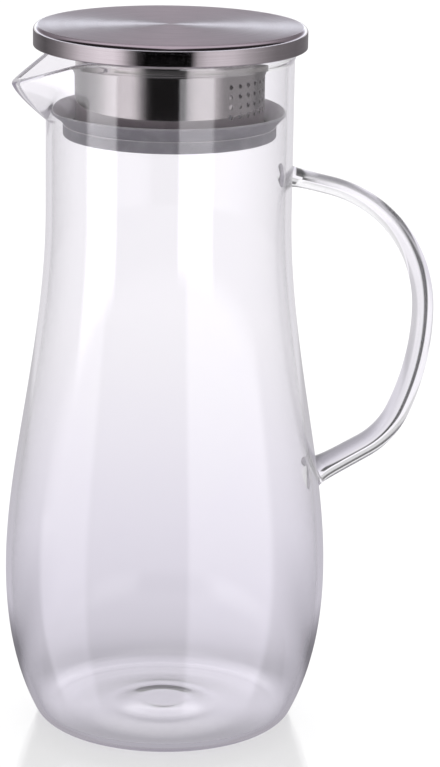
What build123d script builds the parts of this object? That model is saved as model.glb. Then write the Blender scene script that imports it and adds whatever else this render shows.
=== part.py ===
from build123d import *
import os
from math import acos, atan2, copysign, cos, degrees, exp, pi, radians, sin, sqrt, tan

# Glass water pitcher with a handle of drawn glass rod and a strainer lid.
# Millimetres, +Z up. The origin is the centre of the base, on the surface it stands on.
# The spout points to -X and the handle to +X.

# Glass body
rim_height = 243.8
neck_diameter = 86.0
neck_start_height = 186.0
waist_diameter = 103.3
waist_height = 108.0
belly_diameter = 114.4
belly_height = 58.0
contact_diameter = 80.8
corner_radius = 7.2
corner_turn = 63.5
inner_corner_radius = 5.5
wall = 2.2
base_thickness = 2.8
stand_ring_width = 6.0
base_dome_rise = 1.2
punt_diameter = 38.0
punt_edge = 11.0
punt_rise = 1.5
bead_height = 3.5
bead_proud = 0.9
lip_round = 0.9

# Spout
spout_reach = 55.5
spout_tip_drop = 11.3
spout_root_drop = 25.0
spout_tip_radius = 6.0
spout_flare = 1.0
spout_keel_fullness = 1.3
spout_outline_steps = 24
spout_outline_crowding = 1.6
lip_start = 31.8
lip_blend_radius = 22.0

# Handle
handle_reach = 93.3
handle_reach_height = 147.3
handle_upper_bend = 47.8
handle_upper_slope = 15.0
handle_lower_bend = 88.0
handle_lower_turn = 25.0
handle_elbow_bend = 28.0
handle_elbow_turn = 38.0
handle_top_thickness = 6.0
handle_foot_thickness = 9.0
handle_top_width = 8.4
handle_foot_width = 10.4
handle_flare = 0.3
handle_flare_length = 2.4
handle_bury = 5.0
handle_sections = 12

# Lid
lid_gap = 0.3
cap_overhang = 4.4
cap_height = 7.5
cap_edge_radius = 1.9
cap_sheet = 0.8
underplate_sheet = 0.7
underplate_flange_height = 3.4
collar_height = 4.5
collar_sheet = 0.6
collar_bevel = 0.4
drum_diameter = 65.6
drum_sheet = 0.6
drum_depth = 28.0
drum_flange_width = 3.0
press_fit_gap = 0.02

# Strainer holes
hole_diameter = 1.7
hole_rows = 4
hole_columns = 18
hole_first_depth = 9.7
hole_row_pitch = 3.47
hole_column_pitch = 4.2

# Seal
lip_clearance = 0.35
seal_running_fit = 0.08
seal_depth = 30.9
seal_cover = 1.2
seal_grip = 1.8
seal_band_height = 4.3
seal_band_round = 1.0
seal_notch = 0.3
seal_lip_depth = 21.5
seal_lip_edge = 0.7
seal_dish_rim = 0.6

# Worked out from the sizes above
neck_radius = neck_diameter / 2
contact_radius = contact_diameter / 2
inner_neck_radius = neck_radius - wall
spout_root_height = rim_height - spout_root_drop
spout_tip_height = rim_height - spout_tip_drop
keel_slope = (spout_reach - neck_radius) / (spout_root_drop - spout_tip_drop)
spout_wall = wall * sqrt(1 + keel_slope**2)
lid_base = rim_height + lid_gap
cap_radius = neck_radius + cap_overhang
drum_radius = drum_diameter / 2
flange_radius = drum_radius + drum_flange_width


def turned(lines):
    """Solid of revolution about the upright axis of a half section drawn as radius and height."""
    return revolve(Plane.XZ * make_face(lines), axis=Axis.Z)


def base_line(lift):
    """Half section of the base from the axis to the stand ring, with the punt in its middle."""
    punt_radius = punt_diameter / 2
    dome_height = lift + base_dome_rise
    top_height = dome_height + punt_rise
    crown = Line((0, top_height), (punt_radius - punt_edge, top_height))
    step = Spline(crown @ 1, (punt_radius, dome_height), tangents=[(1, 0), (1, 0)])
    ring_point = (contact_radius - stand_ring_width, lift)
    dome = Spline(step @ 1, ring_point, tangents=[(1, 0), (1, 0)])
    return [crown, step, dome]


def turned_jug(inset, lift, bend):
    """Turned form of the jug up to the spout, inset from the outer wall and lifted off the floor."""
    turn = radians(corner_turn)
    outer_end_radius = contact_radius + corner_radius * sin(turn)
    outer_end_height = corner_radius * (1 - cos(turn))
    end_height = lift + bend * (1 - cos(turn))
    end_radius = outer_end_radius - inset + (end_height - outer_end_height) / tan(turn)
    base = base_line(lift)
    floor = Line(base[-1] @ 1, (end_radius - bend * sin(turn), lift))
    corner = JernArc(floor @ 1, (1, 0), bend, corner_turn)
    side = Spline(
        corner @ 1,
        (belly_diameter / 2 - inset, belly_height),
        (waist_diameter / 2 - inset, waist_height),
        (neck_radius - inset, neck_start_height),
        tangents=[corner % 1, (0, 1)],
    )
    neck = Line(side @ 1, (neck_radius - inset, spout_root_height))
    closing = Polyline(neck @ 1, (0, spout_root_height), base[0] @ 0)
    return turned(base + [floor, corner, side, neck, closing])


def plan_section(height, radius, tip_radius, reach):
    """Plan outline of the neck at one height, its circle drawn out to a rounded tip at -X."""
    tip_centre = reach - tip_radius
    spread = acos((radius - tip_radius) / tip_centre)
    tip_edge = atan2(tip_radius * sin(spread), tip_centre + tip_radius * cos(spread))
    points = []
    for step in range(-spout_outline_steps, spout_outline_steps):
        turn = copysign(pi * abs(step / spout_outline_steps) ** spout_outline_crowding, step)
        if abs(turn) > spread:
            distance = radius
        elif abs(turn) > tip_edge:
            distance = radius / cos(spread - abs(turn))
        else:
            distance = tip_centre * cos(turn) + sqrt(tip_radius**2 - (tip_centre * sin(turn)) ** 2)
        points.append((-distance * cos(turn), -distance * sin(turn)))
    return Pos(0, 0, height) * make_face(Spline(points, periodic=True))


def spouted_neck(inset, keel_inset, proud):
    """Neck above the spout's root, lofted from the plain circle to the drawn-out, thickened lip."""
    radius = neck_radius - inset
    tip_radius = spout_tip_radius - inset
    half_height = (spout_root_height + spout_tip_height) / 2
    half_reach = (neck_radius + spout_reach) / 2 + spout_keel_fullness
    top_reach = spout_reach + spout_flare
    return loft(
        [
            Pos(0, 0, spout_root_height) * Circle(radius),
            plan_section(half_height, radius, tip_radius, half_reach - keel_inset),
            plan_section(spout_tip_height, radius, tip_radius, spout_reach - keel_inset),
            plan_section(rim_height - bead_height, radius, tip_radius, top_reach - keel_inset),
            plan_section(rim_height + lip_round, radius + proud, tip_radius, top_reach - keel_inset),
        ]
    )


def above_rim():
    """Space above the rim, level round the neck and sloping down to the tip of the spout."""
    far = 2 * spout_reach
    fall = spout_tip_drop / (spout_reach - lip_start)
    low_z = rim_height - (far - lip_start) * fall
    bends = (far, rim_height), (-lip_start, rim_height), (-far, low_z)
    rim_line = FilletPolyline(*bends, radius=lip_blend_radius)
    closing = Polyline(rim_line @ 1, (-far, rim_height + far), (far, rim_height + far), rim_line @ 0)
    return extrude(Plane.XZ * make_face([rim_line, closing]), far, both=True)


def glass_outside():
    """Outer form of the glass with nothing hollowed out."""
    return turned_jug(0, 0, corner_radius) + spouted_neck(0, 0, bead_proud)


def lip_edges(body):
    """Edges of the trimmed lip, without those between two of its top faces."""
    flat = (GeomType.PLANE, GeomType.CYLINDER)
    top_faces = [f for f in body.faces() if f.geom_type in flat and f.center().Z > spout_tip_height]
    top_edges = [edge for face in top_faces for edge in face.edges()]
    return [edge for edge in top_edges if sum(edge.is_same(other) for other in top_edges) == 1]


def glass_body(outside):
    """Hollow jug with its rim trimmed to the spout and its lip rounded."""
    inside = turned_jug(wall, base_thickness, inner_corner_radius) + spouted_neck(wall, spout_wall, 0)
    trimmed = outside - inside - above_rim()
    return fillet(lip_edges(trimmed), lip_round)


def wall_point(outside, start, heading):
    """Where the handle's centre line, drawn on from start along heading, meets the glass."""
    ray = Axis((start.X, 0, start.Y), (heading.X, 0, heading.Y))
    hits = [point for face in outside.faces() for point, normal in face.find_intersection_points(ray)]
    nearest = min(hits, key=lambda point: (point - ray.position).length)
    return Vector(nearest.X, nearest.Z)


def handle_path(outside):
    """Centre line of the handle from its upper root to its lower root, both buried in the wall."""
    upper_centre = (handle_reach - handle_upper_bend, handle_reach_height)
    upper_turn = 90 - handle_upper_slope
    upper = CenterArc(upper_centre, handle_upper_bend, upper_turn, -upper_turn)
    lower_centre = (handle_reach - handle_lower_bend, handle_reach_height)
    lower = CenterArc(lower_centre, handle_lower_bend, 0, -handle_lower_turn)
    elbow = JernArc(lower @ 1, lower % 1, handle_elbow_bend, -handle_elbow_turn)
    inward = -(upper % 0)
    upper_root = wall_point(outside, upper @ 0, inward) + inward * handle_bury
    lower_root = wall_point(outside, elbow @ 1, elbow % 1) + (elbow % 1) * handle_bury
    runs = [Line(upper_root, upper @ 0), upper, lower, elbow, Line(elbow @ 1, lower_root)]
    return Plane.XZ * Wire([edge for run in runs for edge in run.edges()])


def handle_section(path, distance):
    """Oval section of the handle at a distance along its path, flared where it joins the wall."""
    share = distance / path.length
    thickness = handle_top_thickness + (handle_foot_thickness - handle_top_thickness) * share
    width = handle_top_width + (handle_foot_width - handle_top_width) * share
    from_wall = max(0, min(distance, path.length - distance) - handle_bury)
    flare = 1 + handle_flare * exp(-from_wall / handle_flare_length)
    origin = path.position_at(distance, position_mode=PositionMode.LENGTH)
    heading = path.tangent_at(distance, position_mode=PositionMode.LENGTH)
    return Plane(origin, x_dir=(0, 1, 0), z_dir=heading) * Ellipse(width * flare / 2, thickness * flare / 2)


def glass_handle(outside):
    """Oval glass rod bent to a loop, with its two flared feet cut to the wall of the jug."""
    path = handle_path(outside)
    foot_marks = [0, handle_bury, handle_bury + handle_flare_length, handle_bury + 3 * handle_flare_length]
    free_start = foot_marks[-1]
    step = (path.length - 2 * free_start) / handle_sections
    middle_marks = [free_start + step * index for index in range(1, handle_sections)]
    end_marks = [path.length - mark for mark in reversed(foot_marks)]
    rod = loft([handle_section(path, mark) for mark in foot_marks + middle_marks + end_marks])
    return rod - outside


def cap_line(radius, height, edge_radius):
    """Half section of the cap from the middle of its top, over the edge and down its skirt."""
    top = Line((0, height), (radius - edge_radius, height))
    edge = RadiusArc(top @ 1, (radius, height - edge_radius), edge_radius)
    skirt = Line(edge @ 1, (radius, lid_base))
    return [top, edge, skirt]


def lid_cap():
    """Pressed cap with a flat top and a skirt that covers the rim."""
    outer = cap_line(cap_radius, lid_base + cap_height, cap_edge_radius)
    inner_height = lid_base + cap_height - cap_sheet
    inner = cap_line(cap_radius - cap_sheet, inner_height, cap_edge_radius - cap_sheet)
    foot = Line(outer[-1] @ 1, inner[-1] @ 1)
    axis_line = Line(outer[0] @ 0, inner[0] @ 0)
    return turned(outer + inner + [foot, axis_line])


def lid_underplate():
    """Plate pressed into the cap, with its collar round the top of the drum."""
    radius = cap_radius - cap_sheet - press_fit_gap
    flange_top = lid_base + underplate_flange_height
    plate_top = lid_base + underplate_sheet
    collar_inner = drum_radius + press_fit_gap
    collar_outer = collar_inner + collar_sheet
    collar_foot = lid_base - collar_height
    outline = Polyline(
        (0, plate_top),
        (radius - underplate_sheet, plate_top),
        (radius - underplate_sheet, flange_top),
        (radius, flange_top),
        (radius, lid_base),
        (collar_outer, lid_base),
        (collar_outer, collar_foot + collar_bevel),
        (collar_outer - collar_bevel, collar_foot),
        (collar_inner, collar_foot),
        (collar_inner, lid_base),
        (0, lid_base),
        close=True,
    )
    return turned([outline])


def strainer_drum():
    """Open drum hanging from the plate, with a field of holes towards +X and a turned-out foot."""
    foot = lid_base - drum_depth
    inner_radius = drum_radius - drum_sheet
    outline = Polyline(
        (inner_radius, lid_base),
        (drum_radius, lid_base),
        (drum_radius, foot + drum_sheet),
        (flange_radius, foot + drum_sheet),
        (flange_radius, foot),
        (inner_radius, foot),
        close=True,
    )
    punch = Rot(0, 90, 0) * Cylinder(hole_diameter / 2, 4 * drum_sheet)
    column_angle = degrees(hole_column_pitch / drum_radius)
    holes = []
    for row in range(hole_rows):
        height = lid_base - hole_first_depth - row * hole_row_pitch
        for column in range(hole_columns):
            angle = (column - (hole_columns - 1) / 2) * column_angle
            holes.append(Rot(0, 0, angle) * Pos(drum_radius, 0, height) * punch)
    return turned([outline]) - holes


def seal_ring():
    """Soft ring clipped over the drum's foot, with a flared lip that wipes the inside of the neck."""
    lip_radius = inner_neck_radius - lip_clearance
    inner_radius = flange_radius - seal_grip
    groove_radius = flange_radius + seal_running_fit
    band_radius = groove_radius + seal_cover
    groove_top = lid_base - drum_depth + drum_sheet + seal_running_fit
    groove_foot = lid_base - drum_depth - seal_running_fit
    lip_height = lid_base - seal_lip_depth
    foot = lid_base - seal_depth
    band_top = foot + seal_band_height
    outline = FilletPolyline(
        (inner_radius, groove_top),
        (inner_radius, groove_top + seal_dish_rim),
        (lip_radius - seal_lip_edge / 2, lip_height),
        (lip_radius, lip_height - seal_lip_edge),
        (band_radius - seal_notch, band_top),
        (band_radius, band_top - seal_notch),
        (band_radius, foot),
        (inner_radius, foot),
        (inner_radius, groove_foot),
        (groove_radius, groove_foot),
        (groove_radius, groove_top),
        radius=[0, 0, 0, 0, 0, 0, seal_band_round, 0, 0, 0, 0],
        close=True,
    )
    return turned([outline])


outside = glass_outside()
parts = {
    "glass_body": glass_body(outside),
    "glass_handle": glass_handle(outside),
    "lid_cap": lid_cap(),
    "lid_underplate": lid_underplate(),
    "strainer_drum": strainer_drum(),
    "seal_ring": seal_ring(),
}

os.makedirs("parts", exist_ok=True)
for name, shape in parts.items():
    shape.label = name
    export_step(shape, f"parts/{name}.step")
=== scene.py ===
from math import acos, asin, atan2, copysign, cos, exp, pi, radians, sin, sqrt, tan

import bmesh
import bpy
import numpy as np
from bpy.props import FloatProperty, FloatVectorProperty, IntProperty, PointerProperty
from mathutils import Matrix, Vector


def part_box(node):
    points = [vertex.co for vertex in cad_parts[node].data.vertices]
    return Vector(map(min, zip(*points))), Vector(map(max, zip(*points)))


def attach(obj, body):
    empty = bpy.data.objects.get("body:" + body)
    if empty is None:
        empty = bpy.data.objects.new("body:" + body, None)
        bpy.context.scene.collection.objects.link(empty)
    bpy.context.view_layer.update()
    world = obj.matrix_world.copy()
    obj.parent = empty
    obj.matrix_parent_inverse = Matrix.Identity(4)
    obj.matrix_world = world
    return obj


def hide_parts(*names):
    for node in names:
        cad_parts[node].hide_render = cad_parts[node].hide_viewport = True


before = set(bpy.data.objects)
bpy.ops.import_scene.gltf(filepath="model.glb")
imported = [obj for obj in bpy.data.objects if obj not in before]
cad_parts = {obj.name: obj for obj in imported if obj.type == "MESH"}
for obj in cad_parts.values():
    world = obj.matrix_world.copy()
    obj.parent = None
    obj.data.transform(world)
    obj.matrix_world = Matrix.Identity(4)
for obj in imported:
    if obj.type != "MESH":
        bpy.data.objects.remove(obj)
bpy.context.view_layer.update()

# Glass water pitcher with a handle of drawn glass rod and a strainer lid.
# Metres, +Z up, spout to -X and handle to +X, standing on the floor at its own origin.

bl_info = {
    "name": "Glass pitcher",
    "version": (1, 0, 0),
    "blender": (4, 5, 0),
    "location": "3D View > Sidebar > Pitcher",
    "description": "Builds a glass pitcher with a strainer lid, its finishes and a studio stage",
    "category": "Object",
}

# Level of the studio round the pitcher, by degrees to the right of the camera, as steel mirrors it
MIRRORED_PANELS = (
    (-180, 0.30), (-150, 0.22), (-129, 0.14), (-112, 0.24), (-104, 0.34), (-92, 0.60), (-80, 0.95),
    (-60, 1.25), (-48, 1.25), (-41, 0.95), (-34, 0.40), (-27, 0.05), (-21, 0.00), (17, 0.00),
    (23, 0.62), (31, 0.90), (42, 0.98), (54, 0.92), (66, 0.66), (78, 0.48), (90, 0.34),
    (100, 0.26), (130, 0.20), (150, 0.22), (180, 0.30),
)
# The same for what thin glass bends, such as the rod of the handle
BENT_PANELS = (
    (-180, 0.08), (-174, 0.08), (-171, 0.95), (-150, 1.00), (-142, 0.66), (-112, 0.60), (-100, 0.30),
    (-90, 0.50), (-40, 0.90), (-24, 0.20), (14, 0.20), (40, 1.20), (88, 0.60), (100, 0.45),
    (120, 0.62), (150, 0.68), (156, 0.90), (172, 0.95), (175, 0.55), (177, 0.08), (180, 0.08),
)
# The same for the soft boxes that glass mirrors, on the body and, brighter, on the neck
BODY_PANELS = (
    (-180, 0.58), (-145, 0.58), (-125, 0.50), (-104, 0.40), (-101, 1.25), (-60, 1.25), (-57, 0.40),
    (15, 0.40), (19, 1.65), (82, 1.65), (88, 0.45), (120, 0.50), (145, 0.58), (180, 0.58),
)
NECK_PANELS = (
    (-180, 0.78), (-145, 0.78), (-120, 0.50), (-84, 0.40), (-82, 3.50), (-52, 3.50), (-50, 0.05),
    (8, 0.05), (10, 2.90), (41, 2.90), (43, 0.50), (120, 0.50), (145, 0.78), (180, 0.78),
)

# Painted level of the floor seen through the glass, by metres from the middle of the base: a painted
# shadow of the jug, darkest just outside its foot
FLOOR_LEVELS = (
    (0.000, 0.780), (0.040, 0.850), (0.050, 0.660), (0.058, 0.510), (0.066, 0.530), (0.078, 0.620),
    (0.092, 0.680), (0.118, 0.730), (0.153, 0.785), (0.230, 0.850), (0.350, 0.930), (0.460, 0.980),
    (0.600, 1.030), (1.000, 1.050),
)

# Level above the pitcher by the rise of a direction, as the lid and the glass base mirror it
LID_CEILING = (
    (0.00, 1.60), (0.06, 1.80), (0.12, 1.80), (0.17, 1.20), (0.22, 0.60), (0.28, 0.32), (0.36, 0.24),
    (0.60, 0.34), (0.85, 0.80), (1.00, 0.80),
)
BASE_CEILING = (
    (0.00, 0.30), (0.10, 0.40), (0.30, 0.35), (0.45, 0.50), (0.58, 1.60), (0.75, 1.10), (0.88, 0.60),
    (1.00, 0.60),
)

# Surroundings: ramps over a direction's way to the front, to the right and up, with dims and levels
SKY_BEHIND, SKY_BEHIND_DRUM_DIM = (-0.72, -0.92), 0.6
CEILING_RISE = (0.03, 0.12)
LID_GAP_FRONT, LID_GAP_ASIDE, LID_GAP_RISE, LID_GAP_LEVEL = (0.44, 0.76), 1.1, (0.12, 0.30), 0.03
ROD_EDGE_RISE, ROD_EDGE_DIM = (0.34, 0.52), 0.85
UPPER_RUN_RIGHT, UPPER_RUN_RISE, UPPER_RUN_DIM = (0.02, 0.06), (0.22, 0.02), 0.22
LOWER_RUN_LEFT, LOWER_RUN_RISE, LOWER_RUN_DIM = (-0.02, -0.06), (0.36, 0.28), 0.30
LOWER_LINE_RISE, LOWER_LINE_DIM = (0.10, 0.22), 0.55
DEEP_SKY = 0.12
SOFT_SKY, SOFT_SKY_FRONT, SOFT_SKY_DIM = 0.8, (0.2, 0.95), 0.6
STEEL_SKY_RISE, TINT_RISE = (0.02, 0.08), (0.14, 0.32)
LOW_TINT, HIGH_TINT = (0.95, 1.0, 1.09, 1.0), (1.0, 0.915, 1.015, 1.0)

# Floor as the pitcher mirrors or bends it, painted with its shade and reflections: ramps over metres
# from the axis, to the front, to the right and aside, with dims and levels
FAR_FLOOR, FAR_OFF, RIGHT_FAR_OFF = (0.58, 0.66), (1.10, 0.85), 2.0
OUTER_SIDES, OUTER_SIDES_REACH, OUTER_SIDES_DIM = (0.046, 0.068), (0.24, 0.07), 0.32
NEAR_SIDE, NEAR_SIDE_REACH, NEAR_SIDE_DIM = (-0.002, 0.030), (0.10, 0.06), 0.46
UNDER_JUG, UNDER_JUG_LEVEL = (0.055, 0.080), 0.45
FAR_SIDE, FAR_SIDE_REACH, FAR_SIDE_DIM = (0.0, -0.04), (0.16, 0.09), 0.65
NECK_RUN = (-0.036, -0.026)
HANDLE_RIGHT = (0.02, 0.05)
ROD_NEAR, ROD_NEAR_LEVEL = (0.09, 0.16), 0.20
ROD_MIDDLE, ROD_MIDDLE_DIM = (0.55, 0.40), 0.08
TOP_RUN, TOP_RUN_LEVEL, TOP_RUN_RISE, TOP_RUN_REACH = (0.008, 0.016), 0.26, 0.50, (0.20, 0.90)
LOW_RUN, LOW_RUN_RIGHT, LOW_RUN_NEAR = (0.028, 0.018), 0.15, (0.42, 0.34)
LOW_RUN_LEVEL, LOW_RUN_RISE, LOW_RUN_REACH = 0.40, 0.38, (0.14, 0.32)
DRUM_SIDE, DRUM_SIDE_LEVEL = (0.80, 0.97), 0.36
NEAR_STEEL_LEVEL, DEEP_FLOOR = 0.42, 0.10
SHADE_REACH = (0.10, 0.60)
NEAR_SHADE, FAR_SHADE = (0.985, 0.95, 1.06, 1.0), (0.998, 0.98, 1.02, 1.0)
FLOOR_CLOUDING, CLOUDED_FLOOR = 0.05, (0.6, 0.6, 0.6, 1.0)

# How far the jug's own width pulls a ring of panels round, in metres
RING_PULL = 0.0285

# Sockets of the node that mixes colours, which have the same names for every kind of value
MIX_FACTOR, MIX_FIRST, MIX_SECOND, MIX_RESULT = 0, 6, 7, 2

# Kinds of ray, by how often they went through a glass face or were mirrored
ANY, SEVERAL, BOTH_WALLS, TRAPPED = 0.5, 1.5, 3.5, 3.5

# Lamps: name, degrees round from the camera, distance, height, width, length and watts
LAMPS = (
    ("left_panel", -68, 1.3, 0.45, 0.8, 0.9, 4.0),
    ("right_panel", 48, 1.4, 0.45, 0.8, 0.9, 3.5),
    ("top_panel", 170, 0.5, 1.5, 1.2, 1.2, 9.0),
)
LAMP_AIM = Vector((0.0, 0.0, 0.12))

# Second tones of the finishes, and black and white
BLACK, WHITE = (0.0, 0.0, 0.0, 1.0), (1.0, 1.0, 1.0, 1.0)
HAZY_GLASS, GLASS_SHADOW = (0.992, 0.990, 0.996, 1.0), (0.93, 0.925, 0.94, 1.0)
# Painted glow that clear glass gives off for rays trapped in it by many mirrorings
TRAPPED_RAY_PAINTED_GLOW = (0.22, 0.21, 0.225, 1.0)
WATER_MARK = (0.50, 0.47, 0.475, 1.0)

GLASS_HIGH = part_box("glass_body")[1]
CAP_LOW, CAP_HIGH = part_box("lid_cap")
DRUM_LOW, DRUM_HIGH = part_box("strainer_drum")
SEAL_LOW, SEAL_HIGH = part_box("seal_ring")


def length(name, description, default):
    """Property that holds a length in metres."""
    return FloatProperty(
        name=name, description=description, default=default, unit="LENGTH", precision=5
    )


def angle(name, description, default):
    """Property that holds an angle, its default given in degrees."""
    return FloatProperty(
        name=name, description=description, default=radians(default), subtype="ANGLE"
    )


def count(name, description, default):
    """Property that holds a whole number of steps, rows or holes."""
    return IntProperty(name=name, description=description, default=default, min=1)


def share(name, description, default):
    """Property that holds a plain number."""
    return FloatProperty(name=name, description=description, default=default, precision=4)


def colour(name, description, default):
    """Property that holds a linear colour."""
    return FloatVectorProperty(
        name=name, description=description, default=(*default, 1.0),
        size=4, subtype="COLOR", min=0, max=1,
    )


class PitcherGlassSizes(bpy.types.PropertyGroup):
    """Sizes of the blown glass body and its spout."""

    rim_height: length("Rim height", "Height of the lip above the table", GLASS_HIGH[2])
    neck_diameter: length("Neck diameter", "Outer width of the straight neck", 0.0860)
    neck_start: length("Neck start", "Height at which the neck becomes straight", 0.1860)
    waist_diameter: length("Waist diameter", "Outer width between belly and neck", 0.1033)
    waist_height: length("Waist height", "Height at which the waist width is taken", 0.1080)
    belly_diameter: length("Belly diameter", "Outer width at the belly", 0.1144)
    belly_height: length("Belly height", "Height of the belly", 0.0580)
    contact_diameter: length("Foot diameter", "Width of the foot at the table", 0.0808)
    corner_radius: length("Foot corner", "Outer rounding between foot and side", 0.0072)
    inner_corner_radius: length("Inner foot corner", "Inner rounding of floor and side", 0.0055)
    corner_turn: angle("Foot corner turn", "How far the foot's rounding turns upward", 63.5)
    wall: length("Wall", "Thickness of the blown wall", 0.0022)
    base_thickness: length("Base thickness", "Thickness of the glass floor", 0.0028)
    stand_ring_width: length("Stand ring", "Width of the flat ring it stands on", 0.0060)
    base_dome_rise: length("Base dome", "Rise of the base inside the stand ring", 0.0012)
    punt_diameter: length("Punt diameter", "Width of the raised disc in the base", 0.0380)
    punt_edge: length("Punt edge", "Width of the soft step round the disc", 0.0110)
    punt_rise: length("Punt rise", "Height of the raised disc", 0.0015)
    bead_height: length("Bead height", "Height of the thickened band at the rim", 0.0035)
    bead_proud: length("Bead", "How far the thickened rim stands out", 0.0009)
    lip_round: length("Lip rounding", "Fire-polished rounding of the lip", 0.0009)
    spout_reach: length("Spout reach", "Distance of the spout's tip from the axis", 0.0555)
    spout_tip_drop: length("Spout tip drop", "Drop of the spout's tip below the rim", 0.0113)
    spout_root_drop: length("Spout root drop", "Drop of the spout's root below the rim", 0.0250)
    spout_tip_radius: length("Spout tip radius", "Rounding of the tip seen from above", 0.0060)
    spout_flare: length("Spout flare", "How far the spout flares above its tip", 0.0010)
    spout_fullness: length("Spout fullness", "Bulge of the spout's keel", 0.0013)
    spout_wall: length("Spout wall", "Level thickness of the drawn-out keel", 0.00298)
    lip_start: length("Lip start", "Distance from the axis where the lip starts to fall", 0.0318)
    lip_blend_radius: length("Lip blend", "Radius of the bend where the lip falls", 0.0220)
    columns: count("Columns", "Columns of faces from the spout's tip to the back, one side", 96)


class PitcherHandleSizes(bpy.types.PropertyGroup):
    """Sizes of the glass rod handle."""

    reach: length("Reach", "Distance of the rod's outermost centre from the axis", 0.0933)
    reach_height: length("Reach height", "Height of that outermost point", 0.1473)
    upper_bend: length("Upper bend", "Radius of the upper bend", 0.0478)
    upper_slope: angle("Upper slope", "Slope of the rod where it leaves the neck", 15)
    lower_bend: length("Lower bend", "Radius of the long lower bend", 0.0880)
    lower_turn: angle("Lower turn", "Turn of the long lower bend", 25)
    elbow_bend: length("Elbow bend", "Radius of the elbow above the lower foot", 0.0280)
    elbow_turn: angle("Elbow turn", "Turn of the elbow", 38)
    top_thickness: length("Top thickness", "Thickness of the rod at its upper foot", 0.0060)
    foot_thickness: length("Foot thickness", "Thickness of the rod at its lower foot", 0.0090)
    top_width: length("Top width", "Width of the rod at its upper foot", 0.0084)
    foot_width: length("Foot width", "Width of the rod at its lower foot", 0.0104)
    flare: share("Flare", "How much a foot swells where it was fused on", 0.3)
    flare_length: length("Flare length", "Length over which a foot swells", 0.0024)
    bury: length("Fused depth", "How far the rod's ends run on past the wall", 0.0050)
    sink: length("Fused overlap", "How deep a foot's end lies in the wall", 0.0003)
    step: length("Step", "Spacing of the rod's rings", 0.0016)
    sides: count("Sides", "Faces round the rod", 44)


class PitcherLidSizes(bpy.types.PropertyGroup):
    """Sizes of the steel lid, its underplate and its strainer drum."""

    base: length("Lid base", "Height of the lid's lower face", CAP_LOW[2])
    top: length("Lid top", "Height of the lid's upper face", CAP_HIGH[2])
    radius: length("Lid radius", "Radius of the lid's skirt", CAP_HIGH[0])
    edge_radius: length("Lid edge", "Rounding of the lid's top edge", 0.0019)
    crown: length("Lid crown", "How far the lid's middle stands above its edge", 0.0003)
    sheet: length("Lid sheet", "Thickness of the lid's sheet", 0.0008)
    plate_sheet: length("Plate sheet", "Thickness of the underplate", 0.0007)
    plate_flange: length("Plate flange", "Height of the underplate's turned-up edge", 0.0034)
    collar_height: length("Collar height", "Height of the collar round the drum", 0.0045)
    collar_sheet: length("Collar sheet", "Thickness of the collar", 0.0006)
    collar_bevel: length("Collar bevel", "Bevel at the collar's foot", 0.0004)
    fit: length("Press fit", "Gap left in the press fits", 0.00002)
    drum_diameter: length("Drum diameter", "Outer width of the strainer drum", 0.0656)
    drum_sheet: length("Drum sheet", "Thickness of the drum's sheet", 0.0006)
    drum_foot: length("Drum foot", "Height of the drum's lower edge", DRUM_LOW[2])
    flange_radius: length("Drum flange", "Radius of the drum's turned-out foot", DRUM_HIGH[0])
    flange_bend: length("Flange bend", "Inner rounding between drum and flange", 0.0008)
    hole_diameter: length("Hole diameter", "Width of a strainer hole", 0.0017)
    hole_rows: count("Hole rows", "Rows of strainer holes", 4)
    hole_columns: count("Hole columns", "Columns of strainer holes", 18)
    hole_first_depth: length("First hole depth", "Depth of the upper row below the lid", 0.0097)
    hole_row_pitch: length("Hole row pitch", "Height between hole rows", 0.00347)
    hole_column_pitch: length("Hole column pitch", "Spacing of holes along the sheet", 0.0042)
    hole_burr: length("Hole edge", "Rounding of a punched hole's edge", 0.00012)
    columns: count("Columns", "Columns of faces round the lid", 192)


class PitcherSealSizes(bpy.types.PropertyGroup):
    """Sizes of the soft seal ring."""

    foot: length("Seal foot", "Height of the seal's lower edge", SEAL_LOW[2])
    lip_radius: length("Lip radius", "Radius of the wiping lip", SEAL_HIGH[0])
    lip_height: length("Lip height", "Height of the wiping lip", SEAL_HIGH[2])
    running_fit: length("Running fit", "Clearance round the drum's flange", 0.00008)
    cover: length("Cover", "Thickness over the flange's edge", 0.0012)
    grip: length("Grip", "How far the seal reaches over the flange", 0.0018)
    band_height: length("Band height", "Height of the lower band", 0.0043)
    band_round: length("Band rounding", "Rounding of the band's lower edge", 0.0010)
    notch: length("Notch", "Step between the band and the lip", 0.0003)
    lip_edge: length("Lip edge", "Thickness of the wiping edge", 0.0007)
    dish_rim: length("Dish rim", "Height of the dish's inner rim", 0.0006)
    edge: length("Edge rounding", "Moulded rounding of the small edges", 0.00025)
    columns: count("Columns", "Columns of faces round the seal", 192)


class PitcherFinishes(bpy.types.PropertyGroup):
    """Colours of the finishes."""

    glass: colour("Glass", "Tint of the glass at its surface", (1.0, 0.998, 1.0))
    glass_body_tint: colour("Glass depth", "Tint of thick glass", (0.700, 0.667, 0.767))
    steel_light: colour("Light steel", "Brushed steel between the lines", (0.62, 0.565, 0.585))
    steel_dark: colour("Dark steel", "Brushed steel in the lines", (0.46, 0.41, 0.425))
    polished: colour("Polished steel", "Drawn sheet of the drum", (0.58, 0.545, 0.545))
    silicone: colour("Silicone", "Soft seal", (0.345, 0.335, 0.36))
    # Bloom colour of the seal, also used as painted top light on its upward faces
    silicone_bloom_and_top_light: colour("Silicone bloom and top light", "Dry bloom and painted top light on the seal", (0.80, 0.78, 0.80))
    floor: colour("Floor", "Pale studio floor", (0.50, 0.50, 0.50))


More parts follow.
